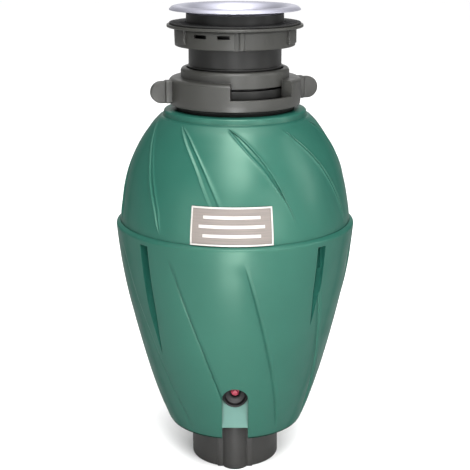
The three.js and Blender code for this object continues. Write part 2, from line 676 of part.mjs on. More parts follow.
// Round base with a half-round rib in front, under the notch.
function baseCover() {
  let cover = turned([
    [0, 0], [BASE_R - 0.8, 0], [BASE_R, 0.8], [BASE_R, BASE_TOP_Z], [0, BASE_TOP_Z],
  ]);
  const ribAxis = -BASE_RIB_FRONT + BASE_RIB_R;
  cover = cover.add(disc(BASE_RIB_R, 0, BASE_TOP_Z, 20).translate([0, ribAxis, 0]));
  cover = cover.add(box([-16, -38.3, 0], [16, -30, BASE_TOP_Z]));
  cover = cover.subtract(disc(BASE_R - 3, 3, BASE_TOP_Z + 1, ROUND));
  add("base_cover", cover.subtract(disc(8, -1, 5).translate([0, 22, 0])), darkPlastic);
}

// Bush in the base that the supply leads come in through.
function cordGland() {
  const gland = turned([
    [5, 0.5], [8 - GAP, 0.5], [8 - GAP, 3 + GAP], [10.5, 3 + GAP], [10.5, 7], [5, 7],
  ], ROUND_SMALL);
  add("cord_gland", gland.translate([0, 22, 0]), rubber);
}

sinkFlange();
flangeSleeve();
fibreGasket();
backupFlange();
mountingNut();
mountingRing();
neckCushion();
splashGuard();
hopper();
shredderRing();
drainChamber();
outletFlange();
shaftSeal();
turntable();
turntableNut();
impeller(1, 90);
impeller(2, 270);
motorCan();
magnets();
lowerEndBell();
bearing("lower_bearing", 50 + GAP);
bearing("upper_bearing", 157.2);
upperBearingSeat();
rotorShaft();
armatureCore();
armatureWinding();
commutator();
brushes();
rectifierBoard();
resetBezel();
resetButton();
overloadSwitch();
upperShell();
lowerShell();
shellScrews();
badge();
baseCover();
cordGland();

export default group;
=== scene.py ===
"""Looks of the kitchen garbage disposal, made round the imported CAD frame.

Outlines are written in millimetres and become metres when a mesh is made. Z is up, the front faces -Y,
and angles about Z run from the front (-Y) towards +X.
"""
import json
import math

import bmesh
import bpy
import numpy as np
from mathutils import Matrix, Vector


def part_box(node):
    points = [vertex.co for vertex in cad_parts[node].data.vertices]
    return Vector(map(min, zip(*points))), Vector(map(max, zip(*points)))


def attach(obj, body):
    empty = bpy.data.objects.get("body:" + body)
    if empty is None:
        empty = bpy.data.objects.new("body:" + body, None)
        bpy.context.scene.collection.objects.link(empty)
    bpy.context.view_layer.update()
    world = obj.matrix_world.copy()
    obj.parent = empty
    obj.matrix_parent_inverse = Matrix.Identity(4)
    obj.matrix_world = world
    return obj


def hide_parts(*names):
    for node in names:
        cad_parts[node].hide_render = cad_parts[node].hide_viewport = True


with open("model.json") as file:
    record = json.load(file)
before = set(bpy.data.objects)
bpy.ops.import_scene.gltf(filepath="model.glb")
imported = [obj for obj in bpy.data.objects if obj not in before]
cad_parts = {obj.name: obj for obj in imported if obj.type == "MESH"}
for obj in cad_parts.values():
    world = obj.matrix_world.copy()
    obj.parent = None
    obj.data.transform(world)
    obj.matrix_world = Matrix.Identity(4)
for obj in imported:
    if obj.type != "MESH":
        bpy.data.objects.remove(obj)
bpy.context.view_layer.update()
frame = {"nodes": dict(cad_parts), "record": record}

MM = 0.001
COLLECTION = bpy.context.scene.collection


def span(node):
    """Lowest and highest corner of a CAD node, in millimetres."""
    low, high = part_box(node)
    return low / MM, high / MM


# ---------------------------------------------------------------- driving dimensions, from the frame
FLANGE_R = span("sink_flange")[1].x
FLANGE_TOP = span("sink_flange")[1].z
SLEEVE_TOP = span("flange_sleeve")[1].z
GASKET_LOW, GASKET_HIGH = span("fibre_gasket")
BACKUP_LOW, BACKUP_HIGH = span("backup_flange")
NUT_LOW, NUT_HIGH = span("mounting_nut")
RING_LOW, RING_HIGH = span("mounting_ring")
CUSHION_LOW, CUSHION_HIGH = span("neck_cushion")
UPPER_LOW, UPPER_HIGH = span("upper_shell")
LOWER_LOW, LOWER_HIGH = span("lower_shell")
BADGE_LOW, BADGE_HIGH = span("badge")
BASE_LOW, BASE_HIGH = span("base_cover")
BEZEL_LOW, BEZEL_HIGH = span("reset_bezel")
BUTTON_LOW, BUTTON_HIGH = span("reset_button")
HOPPER_LOW, HOPPER_HIGH = span("hopper")
DRAIN_LOW, DRAIN_HIGH = span("drain_chamber")
PLATE_LOW, PLATE_HIGH = span("outlet_flange")

SLEEVE_R = 42.6
NECK_R = 40.7
RING_R = 57.9
TIER_R = 47.7
SLEEVE_FIT_R = 42.9                # bore of what sits round the sleeve
SINK_SEAT = FLANGE_TOP - 3.7       # underside of the flange's rim
RING_SKIRT = RING_LOW.z - 2.2      # the band hangs a little over the cushion, outside it
RESET_Z = (BUTTON_LOW.z + BUTTON_HIGH.z) / 2
RESET_HALF = 11.6
RESET_HOLE_Z = RESET_Z - 1.7       # the hole in the shell sits a little lower than the button
FLOOR_Y = -66.0
FLOOR_Z = 51.6
SCREW_R = 99.2
POCKET_TOP = 223.6
POCKET_HALF = 4.65
POCKETS = (   # angle, radius of the pointed inner edge, radius where the sides turn parallel
    (-46.6, 87.8, 98.2), (43.5, 94.5, 102.2), (133.4, 87.8, 98.2), (223.5, 94.5, 102.2),
)
OUTLET_Z = (PLATE_LOW.z + PLATE_HIGH.z) / 2
OUTLET_R = 22.0
OUTLET_BORE = 18.5
INLET_Z = 268.0
INLET_R = 11.0
GLAND_Y = 22
BEYOND = 120                     # past the widest part of the shells, for cutters
SECTORS = 10                     # the flutes repeat ten times round the shells
SECTOR = 360 / SECTORS
CREASE_DEPTH = 1.45
CROSSING = [1, 6]                # creases that fade out where a pocket would cross them


# ---------------------------------------------------------------- meshes
def polar(r, angle, z):
    """Point at a radius, an angle from the front and a height."""
    a = math.radians(angle)
    return Vector((r * math.sin(a), -r * math.cos(a), z))


def rounded(corners, steps=5):
    """Closed outline of (r, z) or (r, z, radius) corners, with each given radius as a smooth curve."""
    points = []
    count = len(corners)
    for i, corner in enumerate(corners):
        here = Vector(corner[:2])
        if len(corner) < 3:
            points.append(here)
            continue
        back = Vector(corners[i - 1][:2]) - here
        ahead = Vector(corners[(i + 1) % count][:2]) - here
        reach = min(corner[2], 0.48 * back.length, 0.48 * ahead.length)
        start, end = here + back.normalized() * reach, here + ahead.normalized() * reach
        for k in range(steps + 1):
            t = k / steps
            points.append(start * (1 - t) ** 2 + here * 2 * t * (1 - t) + end * t ** 2)
    return points


def new_object(name, verts, faces):
    """Mesh object from corners in millimetres."""
    mesh = bpy.data.meshes.new(name)
    mesh.from_pydata([tuple(c * MM for c in v) for v in verts], [], faces)
    obj = bpy.data.objects.new(name, mesh)
    COLLECTION.objects.link(obj)
    return obj


def clean(obj, merge=0.002):
    """Merges doubled points, drops faces without area and turns every face outwards."""
    bm = bmesh.new()
    bm.from_mesh(obj.data)
    bmesh.ops.remove_doubles(bm, verts=bm.verts, dist=merge * MM)
    bmesh.ops.dissolve_degenerate(bm, edges=bm.edges, dist=merge * MM * 0.5)
    bmesh.ops.recalc_face_normals(bm, faces=bm.faces)
    bm.to_mesh(obj.data)
    bm.free()
    return obj


def skin(name, rings):
    """Closed solid through rings of points: rings x columns x 3, closed in both directions."""
    rows, columns, _ = rings.shape
    index = np.arange(rows * columns).reshape(rows, columns)
    down, across = np.roll(index, -1, 0), np.roll(index, -1, 1)
    both = np.roll(down, -1, 1)
    faces = np.stack([index, across, both, down], -1).reshape(-1, 4)
    return clean(new_object(name, rings.reshape(-1, 3).tolist(), faces.tolist()))


def turned(name, corners, columns=180, steps=5):
    """Solid turned about Z from a closed outline."""
    outline = np.array(rounded(corners, steps))
    angles = np.radians(np.arange(columns) * 360 / columns)
    r, z = outline[:, :1], np.repeat(outline[:, 1:], columns, 1)
    rings = np.stack([r * np.sin(angles), -r * np.cos(angles), z], -1)
    return skin(name, rings)


def tube(name, inner, outer, low, high, columns=144):
    """Plain ring about Z, or a cylinder where the inner radius is 0."""
    return turned(name, [(inner, low), (outer, low), (outer, high), (inner, high)], columns)


def prism(name, outline, low, high):
    """Upright solid over a plan outline of (x, y) points."""
    count = len(outline)
    verts = [(x, y, z) for z in (low, high) for x, y in outline]
    faces = [tuple(range(count)), tuple(range(count, 2 * count))]
    faces += [(i, (i + 1) % count, count + (i + 1) % count, count + i) for i in range(count)]
    return clean(new_object(name, verts, faces))


def block(name, low, high):
    """Box between two corners, for a cutter or as the start of a softened piece."""
    (x0, y0, z0), (x1, y1, z1) = low, high
    return prism(name, [(x0, y0), (x1, y0), (x1, y1), (x0, y1)], z0, z1)


def place(obj, angle=0, shift=(0, 0, 0), tilt=None):
    """Turns a mesh about Z, after an optional turn that lays Z along -Y, and moves it."""
    matrix = Matrix.Rotation(math.radians(angle), 4, "Z")
    if tilt is not None:
        matrix = matrix @ Matrix.Rotation(math.radians(tilt), 4, "X")
    obj.data.transform(Matrix.Translation(Vector(shift) * MM) @ matrix)
    return obj


def soften(obj, radius, segments=3, angle=35):
    """Rounds the edges that are sharper than an angle."""
    bm = bmesh.new()
    bm.from_mesh(obj.data)
    sharp = [e for e in bm.edges if e.is_manifold and e.calc_face_angle(0) > math.radians(angle)]
    bmesh.ops.bevel(bm, geom=sharp, offset=radius * MM, segments=segments, profile=0.5,
                    affect="EDGES", clamp_overlap=True)
    bm.to_mesh(obj.data)
    bm.free()
    return clean(obj, 0.0005)


def combine(target, tool, operation):
    """Joins, cuts or keeps the overlap of target with tool, and removes tool."""
    modifier = target.modifiers.new("combine", "BOOLEAN")
    modifier.operation = operation
    modifier.solver = "MANIFOLD"
    modifier.object = tool
    graph = bpy.context.evaluated_depsgraph_get()
    result = bpy.data.meshes.new_from_object(target.evaluated_get(graph))
    target.modifiers.clear()
    target.data = result
    bpy.data.objects.remove(tool)
    return target


def cut(target, *tools):
    for tool in tools:
        combine(target, tool, "DIFFERENCE")
    return target


def join(target, *tools):
    for tool in tools:
        combine(target, tool, "UNION")
    return target


def tube_sector(name, inner, outer, low, high, start, end):
    """Part of a plain ring between two angles."""
    steps = max(2, int((end - start) / 5))
    arc = [polar(BEYOND, start + (end - start) * i / steps, 0) for i in range(steps + 1)]
    sector = prism("sector", [(0, 0)] + [(p.x, p.y) for p in arc], low - 5, high + 5)
    return combine(tube(name, inner, outer, low, high), sector, "INTERSECT")


def circle(radius, count, x=0):
    """Points of a circle in plan, round a place on the X axis."""
    turns = np.linspace(0, 2 * math.pi, count + 1)[:-1]
    return [(x + radius * math.cos(t), radius * math.sin(t)) for t in turns]


def rod(name, radius, near, far, angle, z, columns=64):
    """Cylinder with a level axis, from one distance to another at an angle about Z."""
    return place(prism(name, circle(radius, columns), near, far), angle, (0, 0, z), tilt=90)


def smooth(obj, angle=32):
    """Smooth faces, with edges above an angle kept crisp."""
    mesh = obj.data
    bm = bmesh.new()
    bm.from_mesh(mesh)
    for face in bm.faces:
        face.smooth = True
    for edge in bm.edges:
        edge.smooth = edge.is_manifold and edge.calc_face_angle(0) < math.radians(angle)
    bm.to_mesh(mesh)
    bm.free()
    return obj


def finish_piece(obj, body, slot, look, *nodes, angle=32):
    """Shades a piece, gives it its look, hangs it on its body and hides the CAD nodes that it stands for."""
    smooth(obj, angle)
    obj.data.materials.clear()
    obj.data.materials.append(look)
    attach(obj, body)
    if nodes:
        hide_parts(*nodes)
    return obj


# ---------------------------------------------------------------- materials
def linear(red, green, blue):
    """Linear colour of an sRGB colour given from 0 to 255."""
    def channel(value):
        value /= 255
        return value / 12.92 if value <= 0.04045 else ((value + 0.055) / 1.055) ** 2.4
    return (channel(red), channel(green), channel(blue), 1)


def grey(value):
    return (value, value, value, 1)


class Look:
    """A node material: colour, roughness and bump are varied by procedural textures."""

    def __init__(self, name, metallic=0.0):
        self.material = bpy.data.materials.new(name)
        self.material.use_nodes = True
        self.nodes = self.material.node_tree.nodes
        self.shader = self.nodes["Principled BSDF"]
        self.shader.inputs["Metallic"].default_value = metallic
        self.place = self.nodes.new("ShaderNodeTexCoord").outputs["Object"]
        self.normal = None

    def link(self, source, target):
        self.material.node_tree.links.new(source, target)

    def stretched(self, scale):
        node = self.nodes.new("ShaderNodeMapping")
        node.inputs["Scale"].default_value = scale
        self.link(self.place, node.inputs["Vector"])
        return node.outputs["Vector"]

    def noise(self, scale, detail=2.0, vector=None):
        node = self.nodes.new("ShaderNodeTexNoise")
        node.inputs["Scale"].default_value = scale
        node.inputs["Detail"].default_value = detail
        self.link(vector or self.place, node.inputs["Vector"])
        return node.outputs["Fac"]

    def ramp(self, source, low, high, start=0.3, end=0.7):
        node = self.nodes.new("ShaderNodeValToRGB")
        stops = node.color_ramp.elements
        stops[0].position, stops[1].position = start, end
        stops[0].color, stops[1].color = low, high
        self.link(source, node.inputs["Fac"])
        return node.outputs["Color"]

    def colour(self, source, low, high, painted_shade_reach=0):
        """Base colour between two tones, with painted shade: darker in hollows narrower than the painted
        shade's reach.
        """
        tone = self.ramp(source, low, high)
        # painted shade: an occlusion node darkens the colour in creases, recesses and gaps between parts
        if painted_shade_reach:
            hollow = self.nodes.new("ShaderNodeAmbientOcclusion")
            hollow.samples = 8
            hollow.inputs["Distance"].default_value = painted_shade_reach * MM
            shade = self.ramp(hollow.outputs["AO"], grey(0.12), grey(1), 0.25, 0.85)
            mix = self.nodes.new("ShaderNodeMix")
            mix.data_type = "RGBA"
            mix.blend_type = "MULTIPLY"
            mix.inputs["Factor"].default_value = 1
            self.link(tone, mix.inputs["A"])
            self.link(shade, mix.inputs["B"])
            tone = mix.outputs["Result"]
        self.link(tone, self.shader.inputs["Base Color"])

    def roughness(self, source, low, high):
        self.link(self.ramp(source, grey(low), grey(high)), self.shader.inputs["Roughness"])

    def bump(self, source, depth, strength=1.0):
        node = self.nodes.new("ShaderNodeBump")
        node.inputs["Distance"].default_value = depth * MM
        node.inputs["Strength"].default_value = strength
        self.link(source, node.inputs["Height"])
        if self.normal:
            self.link(self.normal, node.inputs["Normal"])
        self.normal = node.outputs["Normal"]
        self.link(self.normal, self.shader.inputs["Normal"])

    def calm_rim(self, facing, grazing):
        """Less mirror gloss where the surface turns away, as on a matt moulding."""
        weight = self.nodes.new("ShaderNodeLayerWeight")
        weight.inputs["Blend"].default_value = 0.5
        self.link(self.ramp(weight.outputs["Facing"], grey(facing), grey(grazing), 0.2, 0.65),
                  self.shader.inputs["Specular IOR Level"])

    def edges(self, radius):
        """Rounds the look of sharp edges, as a mould does."""
        node = self.nodes.new("ShaderNodeBevel")
        node.samples = 4
        node.inputs["Radius"].default_value = radius * MM
        self.normal = node.outputs["Normal"]
        self.link(self.normal, self.shader.inputs["Normal"])


# Plastics carry painted shade in their hollows, within 4 mm unless another reach is given.
def plastic(name, low, high, rough=(0.35, 0.45), grain=0.02, edge=0.4, specular=0.5, rim=None,
            tint=grey(1), painted_shade_reach=4):
    look = Look(name)
    look.edges(edge)
    look.colour(look.noise(14, 4), linear(*low), linear(*high), painted_shade_reach)
    look.roughness(look.noise(60, 3), *rough)
    look.bump(look.noise(220, 2), grain * 2, 0.5)
    look.bump(look.noise(1500, 2), grain, 0.6)
    look.shader.inputs["Specular IOR Level"].default_value = specular
    look.shader.inputs["Specular Tint"].default_value = tint
    if rim is not None:
        look.calm_rim(specular, rim)
    return look.material


def turned_metal(name, low, high, rough=(0.12, 0.26), edge=0.2):
    """Metal with fine rings round Z, as a lathe or a polishing wheel leaves."""
    look = Look(name, metallic=1.0)
    look.edges(edge)
    flat = look.stretched((1, 1, 0))
    length = look.nodes.new("ShaderNodeVectorMath")
    length.operation = "LENGTH"
    look.link(flat, length.inputs[0])
    rings = look.nodes.new("ShaderNodeTexNoise")
    rings.noise_dimensions = "1D"
    rings.inputs["Scale"].default_value = 1600
    rings.inputs["Detail"].default_value = 3
    look.link(length.outputs["Value"], rings.inputs["W"])
    look.colour(look.noise(30, 3), linear(*low), linear(*high))
    look.roughness(rings.outputs["Fac"], *rough)
    look.bump(rings.outputs["Fac"], 0.006, 0.6)
    return look.material


def brushed_metal(name, low, high, scale=(40, 40, 1500), rough=(0.25, 0.42), edge=0.15, metallic=1.0,
                  painted_shade_reach=0):
    look = Look(name, metallic)
    look.edges(edge)
    streaks = look.noise(1, 3, look.stretched(scale))
    look.colour(streaks, linear(*low), linear(*high), painted_shade_reach)
    look.roughness(streaks, *rough)
    look.bump(streaks, 0.008, 0.5)
    return look.material


def rubber_look(name, low, high):
    look = Look(name)
    look.edges(0.3)
    look.colour(look.noise(40, 4), linear(*low), linear(*high))
    look.roughness(look.noise(90, 2), 0.62, 0.8)
    look.bump(look.noise(900, 3), 0.04, 0.7)
    look.shader.inputs["Specular IOR Level"].default_value = 0.3
    return look.material


def shell_green(name, edge):
    """The shells' green, with edges as round as asked for and painted shade within 1.3 mm in its flutes,
    creases and seams.
    """
    return plastic(name, (25, 70, 60), (29, 75, 64), rough=(0.34, 0.42), grain=0.012, edge=edge,
                   rim=0.04, tint=GREEN_TINT, painted_shade_reach=1.3)


GREEN_TINT = (0.7, 1, 0.8, 1)
GREEN = shell_green("green_shell", 0.45)
RIM_GREEN = shell_green("green_shell_rim", 0.9)
# The collar's plastic carries painted shade within 9 mm, darkening the inside of its window and the corners
# between its tiers.
COLLAR = plastic("collar_plastic", (37, 37, 34), (43, 43, 40), rough=(0.42, 0.52), grain=0.02, painted_shade_reach=9)
DARK = plastic("dark_plastic", (27, 26, 25), (32, 31, 29), rough=(0.45, 0.55), grain=0.02)
NUT_LOOK = plastic("nut_plastic", (30, 30, 27), (36, 36, 32), rough=(0.42, 0.52), grain=0.02)
BLACK = plastic("black_plastic", (15, 15, 14), (20, 20, 19), rough=(0.4, 0.5), grain=0.015, specular=0.3)
# The bezel's plastic carries painted shade within 6 mm, darker deeper in its funnel.
BEZEL_LOOK = plastic("bezel_plastic", (13, 11, 12), (18, 16, 17), rough=(0.45, 0.55), grain=0.015,
                     specular=0.25, painted_shade_reach=6)
# The red plastic carries the plastics' painted shade, darkening the button's ring round its raised centre.
RED = plastic("red_plastic", (150, 34, 58), (163, 42, 66), rough=(0.35, 0.45), grain=0.01, edge=0.2)
RUBBER = rubber_look("rubber", (20, 20, 20), (30, 30, 29))
POLISHED = turned_metal("polished_flange", (160, 160, 171), (174, 174, 185), rough=(0.5, 0.58))
STAINLESS = turned_metal("stainless", (150, 152, 158), (168, 170, 177), rough=(0.16, 0.3))
DARK_STEEL = turned_metal("dark_steel", (84, 84, 82), (100, 100, 97), rough=(0.34, 0.46))
MOTOR_IRON = brushed_metal("motor_iron", (120, 122, 124), (140, 141, 143), rough=(0.4, 0.55))
COPPER = brushed_metal("copper", (168, 96, 58), (196, 120, 78), rough=(0.3, 0.45))
FERRITE = plastic("ferrite", (40, 40, 42), (52, 52, 54), rough=(0.6, 0.75), grain=0.05)
BOARD = plastic("circuit_board", (50, 92, 62), (60, 108, 72), rough=(0.4, 0.55))
# A paler copy of the shell's green: painted light for the channel's flat upright floor.
PAINTED_LIGHT_GREEN = plastic("green_shell_painted_light", (76, 107, 101), (82, 113, 107), rough=(0.3, 0.38), grain=0.01,
                     edge=0.3, tint=GREEN_TINT)
# A darker, duller copy of the shell's green: painted shade for the walls and roofs of the screw pockets,
# with more painted shade in their corners.
PAINTED_SHADE_GREEN = plastic("green_shell_painted_shade", (18, 60, 51), (21, 65, 56), rough=(0.6, 0.7), grain=0.02,
                      edge=0.9, specular=0.08, tint=GREEN_TINT, painted_shade_reach=2)
# The badge panel carries painted shade within 2 mm, along the inside of its border and round the bars.
PANEL = brushed_metal("badge_panel", (100, 94, 90), (115, 107, 102), scale=(30, 30, 1800), rough=(0.6, 0.7),
                      metallic=0.1, painted_shade_reach=2)
TRIM = brushed_metal("badge_trim", (168, 164, 160), (182, 178, 173), rough=(0.4, 0.5), metallic=0.3)

SLOT_LOOKS = {
    "green_shell": GREEN, "stainless": STAINLESS, "dark_steel": DARK_STEEL, "dark_plastic": DARK,
    "black_plastic": BLACK, "collar_plastic": COLLAR, "rubber": RUBBER, "motor_iron": MOTOR_IRON,
    "copper": COPPER, "ferrite": FERRITE, "red_plastic": RED, "badge_metal": PANEL,
    "circuit_board": BOARD,
}


def dress_cad_nodes():
    """Gives every carried-over CAD node the material of its slot."""
    for entry in frame["record"]["subparts"]:
        node = frame["nodes"][entry["node"]]
        node.data.materials.clear()
        node.data.materials.append(SLOT_LOOKS[entry["material_slot"]])


# ---------------------------------------------------------------- sink mount
def sink_flange():
    """Polished dish with a rolled rim and a throat."""
    dish = turned("sink_flange_dish", [
        (FLANGE_R, SINK_SEAT, 0.2), (FLANGE_R, SINK_SEAT + 0.7, 0.3), (54.5, FLANGE_TOP - 0.5, 2.5),
        (50.5, FLANGE_TOP, 3), (46.5, FLANGE_TOP - 1, 3), (43, FLANGE_TOP - 3.6, 2.5),
        (40.4, FLANGE_TOP - 7, 2),
        (39.2, FLANGE_TOP - 11, 2), (39.2, 392, 0.3), (40.2, 392, 0.3), (40.2, 408.6, 1), (41.6, 411.6, 0.5),
        (41.6, 412.7, 0.3), (44.5, 413.6, 1), (47, SINK_SEAT, 1),
    ], 256)
    finish_piece(dish, "housing", "stainless", POLISHED, "sink_flange")


def flange_sleeve():
    foot = span("flange_sleeve")[0].z
    sleeve = turned("flange_sleeve_moulding", [
        (40.5, 408.5, 0.3), (41.9, 411, 0.3), (41.9, SLEEVE_TOP, 0.1), (SLEEVE_R, SLEEVE_TOP, 0.2),
        (SLEEVE_R, NUT_LOW.z, 0.3),
        (NECK_R, NUT_LOW.z - 1, 0.3), (NECK_R, 368.4, 0.4), (41.9, 367.6, 0.5), (41.9, 366.4, 0.3),
        (NECK_R, 365.6, 0.2), (NECK_R, 350.2, 0.2), (46.8, 350.2, 0.4), (46.8, foot, 0.4), (42.5, foot, 0.4),
        (38.8, 349, 0.5), (38.8, 388, 0.5), (40.5, 389.5, 0.3),
    ], 192)
    finish_piece(sleeve, "housing", "black_plastic", BLACK, "flange_sleeve")


def flat_rings():
    """Fibre gasket and the thin backup flange under it."""
    gasket = turned("fibre_gasket_ring", [
        (SLEEVE_FIT_R, GASKET_LOW.z, 0.2), (GASKET_HIGH.x, GASKET_LOW.z, 0.4),
        (GASKET_HIGH.x, GASKET_HIGH.z, 0.4), (SLEEVE_FIT_R, GASKET_HIGH.z, 0.2),
    ])
    finish_piece(gasket, "housing", "rubber", RUBBER, "fibre_gasket")
    edge = BACKUP_HIGH.x
    backup = turned("backup_flange_disc", [
        (SLEEVE_FIT_R, BACKUP_LOW.z, 0.2), (edge, BACKUP_LOW.z, 0.9), (edge, BACKUP_HIGH.z, 1.1),
        (edge - 2.4, BACKUP_HIGH.z, 0.6), (SLEEVE_FIT_R, BACKUP_HIGH.z, 0.2),
    ])
    finish_piece(backup, "housing", "dark_steel", NUT_LOOK, "backup_flange")


NUT_LUGS = (   # angle, half width, reach, height of its foot above the nut's foot
    (-61, 8.2, 54.2, 3.2), (6.4, 2.2, 54.4, 0.4), (67, 8.2, 54.2, 3.2), (125, 2.2, 54.4, 0.4),
    (180, 8.2, 54.2, 3.2), (240, 2.2, 54.4, 0.4),
)
NUT_SLOTS = ((-34, 6.1), (-10.5, 5.2), (95, 5.4), (150, 5.4), (210, 5.4))   # angle, half width


def mounting_nut():
    """Nut with lugs round it, short slots in its rim and one upright groove."""
    low, high = NUT_LOW.z, NUT_HIGH.z
    nut = turned("mounting_nut_cup", [
        (SLEEVE_FIT_R, low, 0.3), (52.6, low, 1.2), (53, high - 2, 0.6), (52.6, high, 0.5), (50, high, 0.3),
        (50, low + 4, 0.5), (SLEEVE_FIT_R, low + 4, 0.3),
    ], 216)
    for centre, half, reach, drop in NUT_LUGS:
        outer = rounded([(-half, -reach, 0.9), (half, -reach, 0.9), (half, -48), (-half, -48)], 4)
        lug = soften(prism("lug", outer, low + drop, high - 0.2), 0.5)
        join(nut, place(lug, centre))
    cut(nut, tube("nut_hollow", 20, 50, low + 4, high + 1, 96))
    cut(nut, tube("nut_bore", 10, SLEEVE_FIT_R, low - 1, high, 96))
    for centre, half in NUT_SLOTS:
        slot = block("slot", (-half, -56, high - 6.1), (half, -48, high - 3.1))
        cut(nut, place(soften(slot, 0.35, 2), centre))
    cut(nut, place(block("groove", (-1.7, -58, low - 1), (1.7, -51.9, high + 1)), 1.6))
    finish_piece(nut, "housing", "dark_plastic", NUT_LOOK, "mounting_nut")


EAR_ANGLE = -75
RING_WINDOW = (-4, 57.5)         # angles between which the band is cut down


def ring_ear(angle):
    """One upright paddle with a round end, and the thicker root that joins it to the band."""
    low = RING_LOW.z
    half = 9.6
    reach = 75.9
    end = [(reach - half + half * math.cos(t), half * math.sin(t))
           for t in np.linspace(-math.pi / 2, math.pi / 2, 25)]
    ear = soften(prism("ear", [(RING_R - 6, -half)] + end + [(RING_R - 6, half)], -2.9, 2.9), 1.0, 4)
    ear.data.transform(Matrix.Rotation(math.pi / 2, 4, "X"))
    root = soften(block("root", (RING_R - 6, -5.2, -half), (RING_R + 5.4, 5.2, half + 0.6)), 1.6, 4)
    join(ear, root)
    return place(ear, angle - 90, (0, 0, low + half))


def mounting_ring():
    """Two-tier ring with two ears and a window cut in the wide tier."""
    low, high = RING_LOW.z, RING_HIGH.z
    band = 357.4            # top of the wide tier
    sill = 344              # foot of the window in it
    inside_top = 352.3      # underside of the ring's inward lip
    bore = 42.6
    ring = turned("mounting_ring_body", [
        (bore, low), (55.3, low), (55.4, RING_SKIRT, 0.3), (57.3, RING_SKIRT, 0.6), (RING_R, low + 2, 2),
        (RING_R, band - 2, 1), (RING_R - 2.2, band, 2.8),
        (TIER_R, band, 0.4), (TIER_R, high - 2.2, 2.4), (TIER_R - 1.6, high, 1.8), (bore, high, 0.4),
    ], 288)
    join(ring, ring_ear(EAR_ANGLE), ring_ear(EAR_ANGLE + 180))
    start, end = RING_WINDOW
    opening = tube_sector("opening", TIER_R, 80, sill, high + 5, start, end)
    slot = tube_sector("slot", 40, 80, sill, inside_top, start, end)
    gap = tube_sector("gap", 40, 54.4, sill - 1.5, sill + 1, start, end)
    cut(ring, opening, slot, gap)
    cut(ring, tube("foot_space", 20, 47.2, 340, inside_top))
    cut(ring, tube("bead_space", 20, 54.2, low - 1, 343))
    for angle in (20, 140, 260):
        join(ring, tube_sector("tab", 50.4, 55, low, low + 1.2, angle, angle + 24))
    finish_piece(ring, "mounting_ring", "collar_plastic", COLLAR, "mounting_ring")


def neck_cushion():
    """Tapered rubber ring between the hopper's neck and the mounting ring."""
    low, high = CUSHION_LOW.z, CUSHION_HIGH.z
    cushion = turned("neck_cushion_ring", [
        (50, low, 0.3), (51.8, low, 0.3), (54.4, low + 3, 0.8), (53.2, high - 2, 1), (52.6, high, 0.5),
        (50, high, 0.3),
    ])
    finish_piece(cushion, "housing", "rubber", RUBBER, "neck_cushion")


def splash_guard():
    """Rubber baffle: a collar, and a dished disc slit into flaps."""
    outer = 38.5
    guard = turned("splash_guard_baffle", [
        (4.5, 350.8, 0.3), (20, 350.2, 3), (outer - 2.4, 353.2, 1), (outer - 2.2, 341.2, 0.3),
        (44, 341.2, 0.3), (44, 342.5, 0.3), (outer, 342.6, 0.3), (outer, 360, 0.5), (outer - 1.8, 360, 0.5),
        (outer - 2.3, 355.2, 2), (20, 351.8, 3), (4.5, 352.3, 0.3),
    ], 192)
    for i in range(6):
        cut(guard, place(block("slit", (-0.5, -31, 348), (0.5, 3, 358)), 60 * i + 15))
    finish_piece(guard, "housing", "rubber", RUBBER, "splash_guard")


# ---------------------------------------------------------------- shells
UPPER_PROFILE = (   # height and radius of the upper shell's outside
    (UPPER_LOW.z, UPPER_HIGH.x), (236, 102.9), (250, 100.9), (265, 98.0), (280, 93.6), (295, 86.9),
    (310, 78.0), (319, 71.4), (323.6, 66.8),
)
LOWER_PROFILE = (   # height and radius of the lower shell's outside
    (40.4, 62.6), (50, 66.6), (60, 70.3), (85, 78.4), (110, 85.4), (140, 92.9), (170, 99.6), (200, 104.4),
    (215, 106.1), (226.5, 107.15),
)


def curve_through(points):
    """Smooth monotone curve through (x, y) points, as a function of an array."""
    x, y = (np.array(c, float) for c in zip(*points))
    step, slope = np.diff(x), np.diff(y) / np.diff(x)
    tangent = np.empty_like(y)
    tangent[0], tangent[-1] = slope[0], slope[-1]
    tangent[1:-1] = (slope[:-1] * step[1:] + slope[1:] * step[:-1]) / (step[:-1] + step[1:])

    def value(at):
        i = np.clip(np.searchsorted(x, at) - 1, 0, len(x) - 2)
        t = (at - x[i]) / step[i]
        a, b = tangent[i] * step[i], tangent[i + 1] * step[i]
        return ((2 * t ** 3 - 3 * t ** 2 + 1) * y[i] + (t ** 3 - 2 * t ** 2 + t) * a
                + (3 * t ** 2 - 2 * t ** 3) * y[i + 1] + (t ** 3 - t ** 2) * b)
    return value


upper_radius = curve_through(UPPER_PROFILE)
lower_radius = curve_through(LOWER_PROFILE)


def smoothstep(low, high, value):
    t = np.clip((value - low) / (high - low), 0, 1)
    return t * t * (3 - 2 * t)


FLUTE_PATH = (   # height, angle and half width of the first flute, from its foot to its tip
    (233.5, 32.4, 0.2), (242, 30.6, 1.6), (256, 28.0, 3.4), (266, 25.2, 4.0), (280, 20.9, 3.8),
    (291.5, 16.7, 3.4), (303, 10.8, 3.2), (310.5, 6.0, 3.0), (316.5, 1.5, 2.2), (322.6, -4.8, 0.2),
)
FLUTE_EDGE = (   # distance outside a flute's edge, and how far the lip stands proud there
    (2.0, 0), (1.6, 0.1), (1.2, 0.3), (0.8, 0.5), (0.4, 0.6), (0.05, 0.56),
)
FLUTE_FLOORS = {0: 1.15, 1: 0.35}    # how deep two of the flutes' floors lie
FLUTE_FLOOR = 0.5                    # and all the others
FLUTE_WIDTHS = {1: 0.42, 8: 0.65}    # the two narrow flutes


